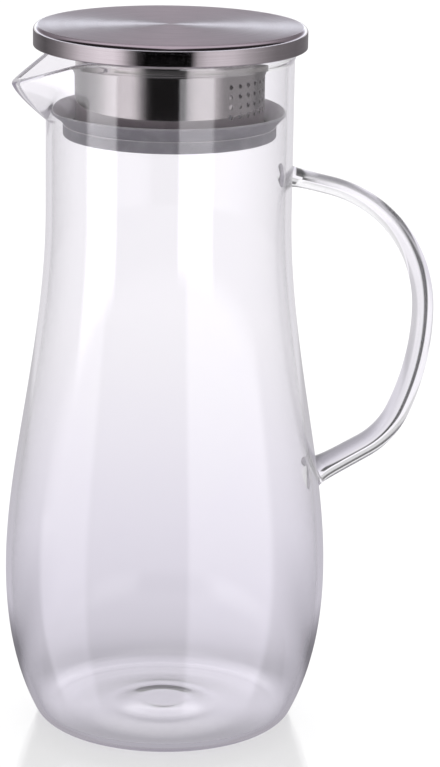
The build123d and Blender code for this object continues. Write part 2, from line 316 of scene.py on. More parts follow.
class PitcherStageSizes(bpy.types.PropertyGroup):
    """Camera and floor."""

    camera_distance: length("Camera distance", "Level distance from the axis", 1.051297)
    camera_height: length("Camera height", "Height of the camera above the floor", 0.412235)
    camera_turn: angle("Camera turn", "Turn of the camera round the pitcher", -11)
    camera_pitch: angle("Camera pitch", "How far the camera looks down", 15.355)
    camera_yaw: angle("Camera yaw", "How far the camera looks past the axis", 1.03)
    camera_roll: angle("Camera roll", "Roll of the camera", 0.921)
    lens: FloatProperty(
        name="Lens", description="Focal length on a 36 mm frame", default=144.08, unit="CAMERA"
    )
    floor_size: length("Floor size", "Width of the floor", 12.0)
    floor_drop: length("Floor drop", "Hairline between the foot and the floor", 0.00005)


class PitcherSettings(bpy.types.PropertyGroup):
    """Everything that can be changed on the pitcher."""

    glass: PointerProperty(type=PitcherGlassSizes)
    handle: PointerProperty(type=PitcherHandleSizes)
    lid: PointerProperty(type=PitcherLidSizes)
    seal: PointerProperty(type=PitcherSealSizes)
    finish: PointerProperty(type=PitcherFinishes)
    stage: PointerProperty(type=PitcherStageSizes)


def math_operator(operation, reflected=False):
    """Operator of a shader value that adds one Math node."""

    def operate(self, other):
        values = (other, self) if reflected else (self, other)
        return self.nodes.math(operation, *values)

    return operate


class Value:
    """Shader value that Python's operators work on, each adding one Math node."""

    __add__, __radd__ = math_operator("ADD"), math_operator("ADD", reflected=True)
    __sub__, __rsub__ = math_operator("SUBTRACT"), math_operator("SUBTRACT", reflected=True)
    __mul__, __rmul__ = math_operator("MULTIPLY"), math_operator("MULTIPLY", reflected=True)
    __truediv__, __rtruediv__ = math_operator("DIVIDE"), math_operator("DIVIDE", reflected=True)
    __pow__, __gt__ = math_operator("POWER"), math_operator("GREATER_THAN")

    def __init__(self, nodes, socket):
        self.nodes = nodes
        self.socket = socket


class Outputs:
    """Outputs of one node, each given as a Value."""

    def __init__(self, nodes, node):
        self.nodes = nodes
        self.node = node

    def __getitem__(self, name):
        return Value(self.nodes, self.node.outputs[name])


class Nodes:
    """Node tree of one finish or of the surroundings."""

    def __init__(self, tree):
        self.tree = tree
        tree.nodes.clear()

    def add(self, kind, settings=None, inputs=None):
        """Adds a node, sets it up and then fills or links its sockets."""
        node = self.tree.nodes.new(kind)
        for name, setting in (settings or {}).items():
            if name == "stops":
                ramp = node.color_ramp.elements
                while len(ramp) < len(setting):
                    ramp.new(1.0)
                for element, (position, tone) in zip(ramp, setting):
                    element.position = position
                    element.color = tone
            else:
                setattr(node, name, setting)
        for name, value in (inputs or {}).items():
            if isinstance(value, Value):
                self.tree.links.new(value.socket, node.inputs[name])
            else:
                node.inputs[name].default_value = value
        return Outputs(self, node)

    def math(self, operation, *values):
        """One Math node on values or numbers."""
        inputs = dict(enumerate(values))
        return self.add("ShaderNodeMath", {"operation": operation}, inputs)["Value"]

    def blend(self, factor, first, second):
        """Mixes two colours."""
        inputs = {MIX_FACTOR: factor, MIX_FIRST: first, MIX_SECOND: second}
        return self.add("ShaderNodeMix", {"data_type": "RGBA"}, inputs)[MIX_RESULT]

    def scale(self, vector, level):
        """Colour or vector made stronger or weaker by a level."""
        inputs = {0: vector, "Scale": level}
        return self.add("ShaderNodeVectorMath", {"operation": "SCALE"}, inputs)["Vector"]

    def noise(self, vector, scale, detail=2.0, roughness=0.5):
        """Soft noise between 0 and 1."""
        inputs = {"Vector": vector, "Scale": scale, "Detail": detail, "Roughness": roughness}
        return self.add("ShaderNodeTexNoise", None, inputs)["Fac"]

    def ramp(self, value, start, end):
        """Smooth step of a value, 0 at the start and 1 at the end."""
        smooth = {"interpolation_type": "SMOOTHSTEP"}
        inputs = {"Value": value, "From Min": start, "From Max": end}
        return self.add("ShaderNodeMapRange", smooth, inputs)["Result"]

    def patches(self, spot, scale, roughness, start, end):
        """Soft patches between 0 and 1."""
        return self.ramp(self.noise(spot, scale, detail=4.0, roughness=roughness), start, end)

    def levels(self, value, stops):
        """Level that follows a value through a list of stops."""
        peak = max(level for spot, level in stops)
        tones = [(spot, (level / peak,) * 3 + (1.0,)) for spot, level in stops]
        return self.add("ShaderNodeValToRGB", {"stops": tones}, {"Fac": value})["Color"] * peak

    def place(self):
        """Place on the object, in metres."""
        return self.add("ShaderNodeTexCoord")["Object"]

    def axes(self, vector):
        """The three numbers of a vector."""
        parts = self.add("ShaderNodeSeparateXYZ", None, {0: vector})
        return parts["X"], parts["Y"], parts["Z"]

    def join(self, x, y, z):
        """A vector from three numbers."""
        return self.add("ShaderNodeCombineXYZ", None, {0: x, 1: y, 2: z})["Vector"]

    def bump(self, height, strength, distance):
        """Surface normal from a height."""
        inputs = {"Height": height, "Strength": strength, "Distance": distance}
        return self.add("ShaderNodeBump", None, inputs)["Normal"]

    def surface(self, inputs):
        """A surface of one finish."""
        return self.add("ShaderNodeBsdfPrincipled", None, inputs)["BSDF"]

    def either(self, factor, first, second):
        """Mixes two surfaces."""
        return self.add("ShaderNodeMixShader", None, {0: factor, 1: first, 2: second})["Shader"]

    def output(self, inputs):
        """Ends the finish with its surface and, for glass, its depth."""
        self.add("ShaderNodeOutputMaterial", None, inputs)


def pick(mask, first, second):
    """The first value where a mask is 0 and the second where it is 1."""
    return first + mask * (second - first)


def from_axis(x, y):
    """Distance from the upright axis."""
    return (x * x + y * y) ** 0.5


def new_finish(name):
    """Empty material and its nodes."""
    finish = bpy.data.materials.new(name)
    finish.use_nodes = True
    return finish, Nodes(finish.node_tree)


def clear_glass_finish(settings):
    """Clear blown glass with faint draw lines, a faint change of tint, a lavender grey depth and a
    painted glow where rays are trapped in it.
    """
    finish, nodes = new_finish("clear_glass_finish")
    spot = nodes.place()
    x, y, z = nodes.axes(spot)
    drawn_out = 0.3
    ripple = nodes.noise(nodes.join(x, y, z * drawn_out), scale=26.0, detail=1.0)
    haze = nodes.patches(spot, scale=55.0, roughness=0.62, start=0.52, end=0.78)
    path = nodes.add("ShaderNodeLightPath")
    # Painted glow: rays mirrored more than three times inside the glass see it glow faintly instead
    # of ending black
    trapped = path["Glossy Depth"] > TRAPPED
    glass = nodes.surface({
        "Base Color": nodes.blend(haze, tuple(settings.finish.glass), HAZY_GLASS),
        "Roughness": 0.0,
        "IOR": 1.47,
        "Transmission Weight": 1.0,
        "Emission Color": nodes.blend(trapped, BLACK, TRAPPED_RAY_PAINTED_GLOW),
        "Emission Strength": 1.0,
        "Normal": nodes.bump(ripple, strength=0.03, distance=0.0004),
    })
    thin = nodes.add("ShaderNodeBsdfTransparent", None, {"Color": GLASS_SHADOW})["BSDF"]
    depth = {"Color": tuple(settings.finish.glass_body_tint), "Density": 16.0}
    nodes.output({
        "Surface": nodes.either(path["Is Shadow Ray"], glass, thin),
        "Volume": nodes.add("ShaderNodeVolumeAbsorption", None, depth)["Volume"],
    })
    return finish


def round_lines(nodes, spot, scale):
    """Fine lines that run round the axis on a top and on a skirt."""
    x, y, z = nodes.axes(spot)
    radius = from_axis(x, y)
    breaks = 1.6
    lines = nodes.join((radius + z) * scale, x / radius * breaks, y / radius * breaks)
    return nodes.noise(lines, scale=1.0, detail=3.0, roughness=0.6)


def brushed_steel_finish(settings):
    """Steel brushed round the axis on the top, smoother on the skirt, with a few handling marks."""
    finish, nodes = new_finish("brushed_steel_finish")
    colours, lid = settings.finish, settings.lid
    spot = nodes.place()
    x, y, _ = nodes.axes(spot)
    fine, broad = round_lines(nodes, spot, 5200.0), round_lines(nodes, spot, 700.0)
    flat = lid.radius - lid.edge_radius
    skirt = nodes.ramp(from_axis(x, y), flat, flat + lid.edge_radius * 0.45)
    smudge = nodes.patches(spot, scale=60.0, roughness=0.6, start=0.5, end=0.75)
    lines = nodes.ramp(fine * 0.6 + broad * 0.4, start=0.36, end=0.64)
    light = lines * (1 - 0.7 * skirt) + 0.5 * skirt
    top_roughness = 0.31 + lines * 0.10 + smudge * 0.05
    skirt_roughness = 0.08 + lines * 0.02 + smudge * 0.03
    steel = nodes.surface({
        "Base Color": nodes.blend(light, tuple(colours.steel_dark), tuple(colours.steel_light)),
        "Metallic": 1.0,
        "Roughness": pick(skirt, top_roughness, skirt_roughness),
        "Anisotropic": 0.85,
        "Anisotropic Rotation": 0.25,
        "Normal": nodes.bump(fine * (1 - 0.95 * skirt), strength=0.10, distance=0.00002),
    })
    nodes.output({"Surface": steel})
    return finish


def polished_steel_finish(settings):
    """Bright drawn sheet with faint round drawing lines and water marks."""
    finish, nodes = new_finish("polished_steel_finish")
    spot = nodes.place()
    fine = round_lines(nodes, spot, 4200.0)
    marks = nodes.patches(spot, scale=90.0, roughness=0.62, start=0.5, end=0.8)
    steel = nodes.surface({
        "Base Color": nodes.blend(marks, tuple(settings.finish.polished), WATER_MARK),
        "Metallic": 1.0,
        "Roughness": 0.07 + fine * 0.04 + marks * 0.03,
        "Normal": nodes.bump(fine, strength=0.05, distance=0.00002),
    })
    nodes.output({"Surface": steel})
    return finish


def grey_silicone_finish(settings):
    """Satin grey silicone with a dry bloom, painted top light that makes its upward faces such as
    its dish lighter, and a fine moulded grain.
    """
    finish, nodes = new_finish("grey_silicone_finish")
    colours = settings.finish
    spot = nodes.place()
    bloom = nodes.patches(spot, scale=140.0, roughness=0.6, start=0.42, end=0.72)
    grain = nodes.noise(spot, scale=2600.0)
    facing_up = nodes.axes(nodes.add("ShaderNodeNewGeometry")["Normal"])[2]
    # Painted top light: faces turned upward, such as the dish, are blended far towards the light
    # silicone colour; the bloom adds a little of it at random
    light = bloom * 0.15 + nodes.ramp(facing_up, start=0.3, end=0.8) * 0.70
    rubber = nodes.surface({
        "Base Color": nodes.blend(light, tuple(colours.silicone), tuple(colours.silicone_bloom_and_top_light)),
        "Roughness": 0.40 + bloom * 0.12 + grain * 0.06,
        "IOR": 1.43,
        "Subsurface Weight": 0.8,
        "Subsurface Radius": (1.0, 0.92, 1.0),
        "Subsurface Scale": 0.004,
        "Normal": nodes.bump(grain, strength=0.12, distance=0.00005),
    })
    nodes.output({"Surface": rubber})
    return finish


FINISH_MAKERS = {
    "clear_glass": clear_glass_finish,
    "brushed_steel": brushed_steel_finish,
    "polished_steel": polished_steel_finish,
    "grey_silicone": grey_silicone_finish,
}


def finish_named(name):
    """The finish of one material slot, made the first time it is asked for."""
    made = bpy.data.materials.get(name + "_finish")
    return made or FINISH_MAKERS[name](bpy.context.scene.pitcher)


def arc(centre, radius, start, turn, steps):
    """Points along an arc of a half section, both ends included."""
    angles = [start + turn * step / steps for step in range(steps + 1)]
    return [(centre[0] + radius * cos(a), centre[1] + radius * sin(a)) for a in angles]


def soft_step(start, end, steps):
    """Points of a soft step that leaves its start level and arrives level, without the start."""
    points = []
    for step in range(1, steps + 1):
        part = step / steps
        rise = part * part * (3 - 2 * part)
        across = start[0] + (end[0] - start[0]) * part
        points.append((across, start[1] + (end[1] - start[1]) * rise))
    return points


def signed_power(value, power):
    """Power of a value that keeps its sign."""
    return copysign(abs(value) ** power, value)


def run_until(outside, limit, halvings):
    """Distance along a straight run at which it stops being outside, found by halving."""
    low, high = 0.0, limit
    for step in range(halvings):
        middle = (low + high) / 2
        low, high = (middle, high) if outside(middle) else (low, middle)
    return (low + high) / 2


def fair_curve(points, first_heading, last_heading, steps):
    """Points along the fair curve through given points, with the headings of its ends given."""
    points = np.array(points, dtype=float)
    spans = np.linalg.norm(np.diff(points, axis=0), axis=1)
    system = np.eye(len(points))
    wanted = np.zeros_like(points)
    wanted[0], wanted[-1] = first_heading, last_heading
    for i in range(1, len(points) - 1):
        before, after = spans[i - 1], spans[i]
        system[i, i - 1:i + 2] = after, 2 * (before + after), before
        back, ahead = points[i] - points[i - 1], points[i + 1] - points[i]
        wanted[i] = 3 * (after / before * back + before / after * ahead)
    slopes = np.linalg.solve(system, wanted)
    t = (np.arange(steps) / steps)[:, None]
    curve = []
    for i, span in enumerate(spans):
        leaving = (t**3 - 2 * t**2 + t) * span * slopes[i]
        arriving = (t**3 - t**2) * span * slopes[i + 1]
        start = (2 * t**3 - 3 * t**2 + 1) * points[i] + leaving
        end = (3 * t**2 - 2 * t**3) * points[i + 1] + arriving
        curve.append(start + end)
    return [tuple(point) for point in np.vstack(curve + [points[-1:]])]


def rounded(corners, radii, steps=6):
    """Closed half section with each corner rounded by its own radius."""
    points = []
    for i, corner in enumerate(corners):
        here, back, ahead = (Vector(corners[k % len(corners)]) for k in (i, i - 1, i + 1))
        if not radii[i]:
            points.append(corner)
            continue
        inward, outward = (back - here).normalized(), (ahead - here).normalized()
        half = acos(max(-1.0, min(1.0, inward.dot(outward)))) / 2
        reach = radii[i] / tan(half)
        start, end = here + inward * reach, here + outward * reach
        for step in range(steps + 1):
            part = step / steps
            points.append(tuple(start.lerp(here, part).lerp(here.lerp(end, part), part)))
    return points


def skin(name, rows, ring=False, sharp=40.0):
    """Mesh over rows of points; a row of one point is a pole, and a ring joins its ends."""
    starts, points, faces = [], [], []
    for row in rows:
        starts.append(len(points))
        points.extend(row)
    pairs = [(i, i + 1) for i in range(len(rows) - 1)]
    if ring:
        pairs.append((len(rows) - 1, 0))
    for a, b in pairs:
        size_a, size_b = len(rows[a]), len(rows[b])
        for i in range(max(size_a, size_b)):
            j = i + 1
            corners = (starts[a] + i % size_a, starts[a] + j % size_a)
            corners += (starts[b] + j % size_b, starts[b] + i % size_b)
            faces.append(tuple(dict.fromkeys(corners)))
    return finished_mesh(name, points, faces, sharp)


def finished_mesh(name, points, faces, sharp):
    """Smooth-shaded mesh with outward faces and its real edges kept sharp."""
    mesh = bpy.data.meshes.new(name)
    mesh.from_pydata([tuple(point) for point in points], [], faces)
    if mesh.validate():
        raise RuntimeError(name + " has faulty faces")
    form = bmesh.new()
    form.from_mesh(mesh)
    bmesh.ops.recalc_face_normals(form, faces=form.faces)
    form.to_mesh(mesh)
    form.free()
    mesh.shade_smooth()
    mesh.set_sharp_from_angle(angle=radians(sharp))
    return mesh


ON_AXIS = 1e-9


def turned_rows(section, angles):
    """Rows of points made by turning a half section about the upright axis."""
    rows = []
    for radius, height in section:
        if radius < ON_AXIS:
            rows.append([(0.0, 0.0, height)])
        else:
            rows.append([(radius * cos(a), radius * sin(a), height) for a in angles])
    return rows


def even_angles(columns):
    """Angles of evenly spread columns."""
    return [2 * pi * step / columns for step in range(columns)]


def add_piece(name, mesh, slot, body, node):
    """Puts a piece in the scene with its finish, body, slot and the solid it stands for."""
    piece = bpy.data.objects.new(name, mesh)
    bpy.context.scene.collection.objects.link(piece)
    mesh.materials.append(finish_named(slot))
    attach(piece, body)
    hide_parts(node)
    return piece


def wall_section(glass, inset, lift, bend):
    """Half section of the glass from the middle of its base up to the spout's root."""
    turn = glass.corner_turn
    contact = glass.contact_diameter / 2
    neck = glass.neck_diameter / 2 - inset
    end_height = lift + bend * (1 - cos(turn))
    outer_end = contact + glass.corner_radius * sin(turn)
    outer_end_height = glass.corner_radius * (1 - cos(turn))
    end_radius = outer_end - inset + (end_height - outer_end_height) / tan(turn)
    punt = glass.punt_diameter / 2
    dome = lift + glass.base_dome_rise
    top = dome + glass.punt_rise
    crown_edge = (punt - glass.punt_edge, top)
    ring = (contact - glass.stand_ring_width, lift)
    foot = end_radius - bend * sin(turn)
    base = [(0.0, top), crown_edge] + soft_step(crown_edge, (punt, dome), steps=10)
    base += soft_step((punt, dome), ring, steps=14)
    corner = arc((foot, lift + bend), bend, -pi / 2, turn, steps=12)
    through = [
        corner[-1],
        (glass.belly_diameter / 2 - inset, glass.belly_height),
        (glass.waist_diameter / 2 - inset, glass.waist_height),
        (neck, glass.neck_start),
    ]
    side = fair_curve(through, (cos(turn), sin(turn)), (0.0, 1.0), steps=24)
    root = glass.rim_height - glass.spout_root_drop
    rise, steps = root - glass.neck_start, 6
    straight = [(neck, glass.neck_start + rise * step / steps) for step in range(1, steps + 1)]
    return base + corner + side[1:] + straight


class SpoutForm:
    """Form of the neck above the spout's root, outside or inside."""

    bead_turn, bead_fullness = 0.72 * pi, 0.9

    def __init__(self, glass, inset, keel_inset, proud):
        self.radius = glass.neck_diameter / 2 - inset
        self.tip_radius = glass.spout_tip_radius - inset
        self.root = glass.rim_height - glass.spout_root_drop
        self.bead_start = glass.rim_height - glass.bead_height
        self.bead_end = glass.rim_height + glass.lip_round
        self.proud = proud
        tip = glass.rim_height - glass.spout_tip_drop
        half_reach = (glass.neck_diameter / 2 + glass.spout_reach) / 2 + glass.spout_fullness
        top_reach = glass.spout_reach + glass.spout_flare - keel_inset
        knots = [
            (self.root, self.radius),
            ((self.root + tip) / 2, half_reach - keel_inset),
            (tip, glass.spout_reach - keel_inset),
            (self.bead_start, top_reach),
            (self.bead_end, top_reach),
        ]
        root_heading = Vector((1.0, 1.2)).normalized()
        self.keel = np.array(fair_curve(knots, tuple(root_heading), (1.0, 0.0), steps=16))

    def distance(self, turn, height):
        """Distance of the surface from the axis, at a turn from the spout's tip and a height."""
        reach = float(np.interp(height, self.keel[:, 0], self.keel[:, 1]))
        part = (height - self.bead_start) / (self.bead_end - self.bead_start)
        part = max(0.0, min(1.0, part))
        radius = self.radius + self.proud * sin(self.bead_turn * part) ** self.bead_fullness
        tip_centre = reach - self.tip_radius
        spread = acos(max(-1.0, min(1.0, (radius - self.tip_radius) / tip_centre)))
        tip_way = tip_centre + self.tip_radius * cos(spread)
        tip_edge = atan2(self.tip_radius * sin(spread), tip_way)
        turn = abs(turn)
        if turn > spread:
            return radius
        if turn > tip_edge:
            return radius / cos(spread - turn)
        off_line = tip_centre * sin(turn)
        return tip_centre * cos(turn) + sqrt(self.tip_radius**2 - off_line**2)

    def point(self, turn, height):
        """Point of the surface."""
        distance = self.distance(turn, height)
        return Vector((-distance * cos(turn), -distance * sin(turn), height))


def rim_line(glass, x):
    """Height of the lip at a distance along the spout's axis."""
    fall = atan2(glass.spout_tip_drop, glass.spout_reach - glass.lip_start)
    bend = glass.lip_blend_radius
    reach = bend * tan(fall / 2)
    start, end = -glass.lip_start + reach, -glass.lip_start - reach * cos(fall)
    if x >= start:
        return glass.rim_height
    if x <= end:
        return glass.rim_height + (x + glass.lip_start) * tan(fall)
    return glass.rim_height - bend + sqrt(bend**2 - (start - x) ** 2)


def lip_height(glass, form, turn, rounds=12):
    """Height of the lip where one column of the surface meets it, found in a few rounds."""
    height = glass.rim_height
    for step in range(rounds):
        height = rim_line(glass, form.point(turn, height - glass.lip_round).x)
    return height


def jug_mesh(glass):
    """Mesh of the jug, up its outside, over the rounded lip and down its inside."""
    steps, crowding = glass.columns, 1.35
    spout_rows, lip_steps, lip_squareness = 26, 12, 0.75
    turns = [pi * signed_power(step / steps, crowding) for step in range(-steps, steps)]
    angles = [pi + turn for turn in turns]
    outer = SpoutForm(glass, 0.0, 0.0, glass.bead_proud)
    inner = SpoutForm(glass, glass.wall, glass.spout_wall, 0.0)
    rows = turned_rows(wall_section(glass, 0.0, 0.0, glass.corner_radius), angles)
    lip_out = [lip_height(glass, outer, turn) for turn in turns]
    lip_in = [lip_height(glass, inner, turn) for turn in turns]

    def spout_row(form, tops, part):
        heights = [form.root + (top - glass.lip_round - form.root) * part for top in tops]
        return [form.point(turn, height) for turn, height in zip(turns, heights)]

    parts = [step / spout_rows for step in range(1, spout_rows + 1)]
    rows += [spout_row(outer, lip_out, part) for part in parts]
    ends_out, ends_in = rows[-1], spout_row(inner, lip_in, 1.0)
    for step in range(1, lip_steps):
        around = pi * step / lip_steps
        across = signed_power(cos(around), lip_squareness)
        rise = sin(around) ** lip_squareness * glass.lip_round
        row = []
        for outside, inside in zip(ends_out, ends_in):
            middle, half = (outside + inside) / 2, (outside - inside) / 2
            row.append(middle + half * across + Vector((0.0, 0.0, rise)))
        rows.append(row)
    rows.append(ends_in)
    rows += [spout_row(inner, lip_in, part) for part in reversed(parts[:-1])]
    inner_wall = wall_section(glass, glass.wall, glass.base_thickness, glass.inner_corner_radius)
    rows += turned_rows(inner_wall, angles)[::-1]
    return skin("jug_glass", rows, sharp=70.0)


class HandlePath:
    """Centre line of the glass rod, from its upper foot to its lower foot."""

    def __init__(self, handle, glass):
        section = np.array(wall_section(glass, 0.0, 0.0, glass.corner_radius))
        side = section[section[:, 1] > glass.corner_radius]
        self.heights, self.radii = side[:, 1], side[:, 0]
        start_angle = pi / 2 - handle.upper_slope
        upper_centre = Vector((handle.reach - handle.upper_bend, handle.reach_height))
        lower_centre = Vector((handle.reach - handle.lower_bend, handle.reach_height))
        upper = arc(upper_centre, handle.upper_bend, start_angle, -start_angle, steps=60)
        lower = arc(lower_centre, handle.lower_bend, 0.0, -handle.lower_turn, steps=40)
        heading = -handle.lower_turn - pi / 2
        side_way = heading - pi / 2
        to_centre = handle.elbow_bend * Vector((cos(side_way), sin(side_way)))
        elbow_centre = Vector(lower[-1]) + to_centre
        elbow = arc(elbow_centre, handle.elbow_bend, side_way + pi, -handle.elbow_turn, steps=40)
        end_heading = heading - handle.elbow_turn
        out_of_neck = Vector((sin(start_angle), -cos(start_angle)))
        into_belly = Vector((cos(end_heading), sin(end_heading)))
        first, last = Vector(upper[0]), Vector(elbow[-1])
        top_run = self.to_wall(first, -out_of_neck) + handle.bury
        foot_run = self.to_wall(last, into_belly) + handle.bury
        top, foot = first - out_of_neck * top_run, last + into_belly * foot_run
        self.points = np.array([tuple(top)] + upper + lower[1:] + elbow[1:] + [tuple(foot)])
        steps = np.linalg.norm(np.diff(self.points, axis=0), axis=1)
        self.marks = np.concatenate([[0.0], np.cumsum(steps)])
        self.length = float(self.marks[-1])

    def wall_radius(self, height):
        """Radius of the jug's outside at a height."""
        return float(np.interp(height, self.heights, self.radii))

    def to_wall(self, start, heading):
        """Distance from a point of the centre line along a heading to the jug's outside."""

        def outside(run):
            spot = start + heading * run
            return spot.x > self.wall_radius(spot.y)

        return run_until(outside, limit=0.1, halvings=50)

    def at(self, mark):
        """Point of the centre line at a distance along it."""
        return Vector([float(np.interp(mark, self.marks, line)) for line in self.points.T])

    def heading(self, mark):
        """Heading of the centre line at a distance along it."""
        near = 0.0005
        return (self.at(mark + near) - self.at(mark - near)).normalized()


def rod_offsets(handle, path, mark, heading):
    """Offsets of the oval section's points from the centre line."""
    part = mark / path.length
    thickness = handle.top_thickness + (handle.foot_thickness - handle.top_thickness) * part
    width = handle.top_width + (handle.foot_width - handle.top_width) * part
    across = Vector((-heading.y, 0.0, heading.x))
    offsets = []
    for a in even_angles(handle.sides):
        sideways = Vector((0.0, width / 2 * cos(a), 0.0))
        offsets.append(sideways + across * (thickness / 2 * sin(a)))
    return offsets


def foot_rows(handle, path, mark, inward):
    """Rows from a ring of the rod to the middle of its fused foot, flared on the jug's wall."""
    flare_parts = (0.12, 0.25, 0.38, 0.5, 0.6, 0.7, 0.79, 0.87, 0.94, 1.0)
    end_shares = (0.8, 0.55, 0.28)
    centre = path.at(mark)
    start = Vector((centre.x, 0.0, centre.y))
    way = Vector((inward.x, 0.0, inward.y))
    offsets = rod_offsets(handle, path, mark, -inward if mark < path.length / 2 else inward)

    def depth(offset):
        def outside(run):
            spot = start + offset + way * run
            return sqrt(spot.x**2 + spot.y**2) > path.wall_radius(spot.z) - handle.sink

        return run_until(outside, limit=0.04, halvings=40)

    depths = [depth(offset * (1 + handle.flare)) for offset in offsets]
    rows = []
    for part in flare_parts:
        row = []
        for offset, reach in zip(offsets, depths):
            swell = 1 + handle.flare * exp(-reach * (1 - part) / handle.flare_length)
            row.append(start + offset * swell + way * reach * part)
        rows.append(row)
    for share_of_end in end_shares:
        inner = [offset * (1 + handle.flare) * share_of_end for offset in offsets]
        rows.append([start + offset + way * depth(offset) for offset in inner])
    rows.append([start + way * depth(Vector((0.0, 0.0, 0.0)))])
    return rows


def handle_mesh(handle, glass):
    """Mesh of the glass rod, with both feet closed on the jug's wall."""
    path = HandlePath(handle, glass)
    flare_room = 4
    margin = handle.bury + flare_room * handle.flare_length
    run = path.length - 2 * margin
    steps = int(run / handle.step)
    marks = [margin + run * step / steps for step in range(steps + 1)]
    rod = []
    for mark in marks:
        centre, heading = path.at(mark), path.heading(mark)
        middle = Vector((centre.x, 0.0, centre.y))
        rod.append([middle + offset for offset in rod_offsets(handle, path, mark, heading)])
    upper = foot_rows(handle, path, marks[0], -path.heading(marks[0]))
    lower = foot_rows(handle, path, marks[-1], path.heading(marks[-1]))
    return skin("handle_glass", upper[::-1] + rod + lower, sharp=50.0)


def cap_mesh(lid):
    """Mesh of the pressed cap."""
    foot, least_edge, skirt_step, crown_steps = 0.00038, 0.0001, 0.0014, 16
    inner, edge = lid.radius - lid.sheet, lid.edge_radius
    inside_edge = max(edge - lid.sheet, least_edge)
    low, high = lid.base, lid.top - lid.sheet
    flat, rim = lid.radius - edge, lid.top - lid.crown
    section = [(0.0, lid.top)]
    for step in range(1, crown_steps):
        part = step / crown_steps
        section.append((flat * part, lid.top - lid.crown * part**2))
    section += arc((flat, rim - edge), edge, pi / 2, -pi / 2, steps=10)
    section += [(lid.radius, rim - edge - skirt_step * step) for step in range(1, 4)]
    section += arc((lid.radius - foot, low + foot), foot, 0.0, -pi / 2, steps=4)
    section += arc((inner + foot, low + foot), foot, -pi / 2, -pi / 2, steps=4)
    inside_centre = (inner - inside_edge, high - inside_edge)
    section += arc(inside_centre, inside_edge, 0.0, pi / 2, steps=4)
    section.append((0.0, high))
    return skin("cap_steel", turned_rows(section, even_angles(lid.columns)))


def underplate_mesh(lid):
    """Mesh of the plate pressed into the cap, with its collar round the drum."""
    radius = lid.radius - lid.sheet - lid.fit
    plate_top = lid.base + lid.plate_sheet
    flange_top = lid.base + lid.plate_flange
    collar = lid.drum_diameter / 2 + lid.fit
    collar_outer = collar + lid.collar_sheet
    collar_foot = lid.base - lid.collar_height
    corners = [
        (radius - lid.plate_sheet, plate_top),
        (radius - lid.plate_sheet, flange_top),
        (radius, flange_top),
        (radius, lid.base),
        (collar_outer, lid.base),
        (collar_outer, collar_foot),
        (collar, collar_foot),
        (collar, lid.base),
    ]
    bend, cut_edge, heel, bore_edge = 0.0006, 0.0002, 0.0005, 0.0001
    radii = [bend, cut_edge, cut_edge, heel, bend, lid.collar_bevel, bore_edge, 0.0]
    section = [(0.0, plate_top)] + rounded(corners, radii) + [(0.0, lid.base)]
    return skin("underplate_steel", turned_rows(section, even_angles(lid.columns)))


class DrumGrid:
    """Grid of the strainer drum's sheet, with cells left out for the holes."""

    cell, rows_above, rows_below = 4, 4, 3

    def __init__(self, lid):
        self.lid = lid
        self.outer = lid.drum_diameter / 2
        self.inner = self.outer - lid.drum_sheet
        self.pitch = lid.hole_column_pitch / self.outer
        self.field = self.pitch * lid.hole_columns
        self.field_columns = lid.hole_columns * self.cell
        self.field_rows = lid.hole_rows * self.cell
        self.bend_start = lid.drum_foot + lid.drum_sheet + lid.flange_bend
        self.angles = self.column_angles()
        self.levels = self.row_levels()
        section = [(self.outer, level) for level in self.levels] + self.foot_line()
        section += [(self.inner, level) for level in self.levels[::-1]]
        self.rows = turned_rows(section, self.angles)
        self.columns, self.inner_top = len(self.angles), len(self.rows) - 1

    def column_angles(self):
        """Angles of the columns, four to a hole and about as close on the plain side."""
        bare = 2 * pi - self.field
        rest = round(bare / (self.pitch / self.cell))
        half = self.field / 2
        angles = [self.pitch * step / self.cell - half for step in range(self.field_columns)]
        return angles + [half + bare * step / rest for step in range(rest)]

    def row_levels(self):
        """Heights of the rows, from the plate down to the bend of the foot."""
        lid, above, below = self.lid, self.rows_above, self.rows_below
        field_top = lid.base - lid.hole_first_depth + lid.hole_row_pitch / 2
        levels = [lid.base - (lid.base - field_top) * step / above for step in range(above)]
        for step in range(self.field_rows + 1):
            levels.append(field_top - lid.hole_row_pitch * step / self.cell)
        last = levels[-1]
        return levels + [last + (self.bend_start - last) * step / below for step in range(1, below)]

    def foot_line(self):
        """Half section of the turned-out foot, from the outside round to the inside."""
        lid, bend, foot, edge = self.lid, self.lid.flange_bend, self.lid.drum_foot, 0.00012
        flange_top = foot + lid.drum_sheet
        corners = [(lid.flange_radius, flange_top), (lid.flange_radius, foot)]
        corners += [(self.outer, foot), (self.outer, flange_top)]
        line = arc((self.outer + bend, self.bend_start), bend, pi, pi / 2, steps=6)
        line += rounded(corners, [edge, edge, 0.0, 0.0], steps=4)[:-2]
        return line + arc((self.inner + bend, foot + bend), bend, 1.5 * pi, -pi / 2, steps=6)

    def point(self, row, column):
        """Number of a grid point."""
        return self.columns * row + column % self.columns

    def in_field(self, level, column):
        """Whether a cell of the grid belongs to the field of holes."""
        row = level - self.rows_above
        return 0 <= row < self.field_rows and column < self.field_columns

    def plain_faces(self):
        """Faces of the grid outside the field of holes, on both sides of the sheet."""
        faces = []
        for a in range(len(self.rows)):
            b = (a + 1) % len(self.rows)
            level = a if a < len(self.levels) else self.inner_top - a - 1
            for i in range(self.columns):
                if not (b and self.in_field(level, i)):
                    corners = (a, i), (a, i + 1), (b, i + 1), (b, i)
                    faces.append(tuple(self.point(*corner) for corner in corners))
        return faces

    def cell_loop(self, row, column):
        """Levels and columns of the grid points round one hole's cell."""
        cell = self.cell
        level, side = self.rows_above + row * cell, column * cell
        loop = [(level, side + k) for k in range(cell)]
        loop += [(level + k, side + cell) for k in range(cell)]
        loop += [(level + cell, side + cell - k) for k in range(cell)]
        return loop + [(level + cell - k, side) for k in range(cell)]


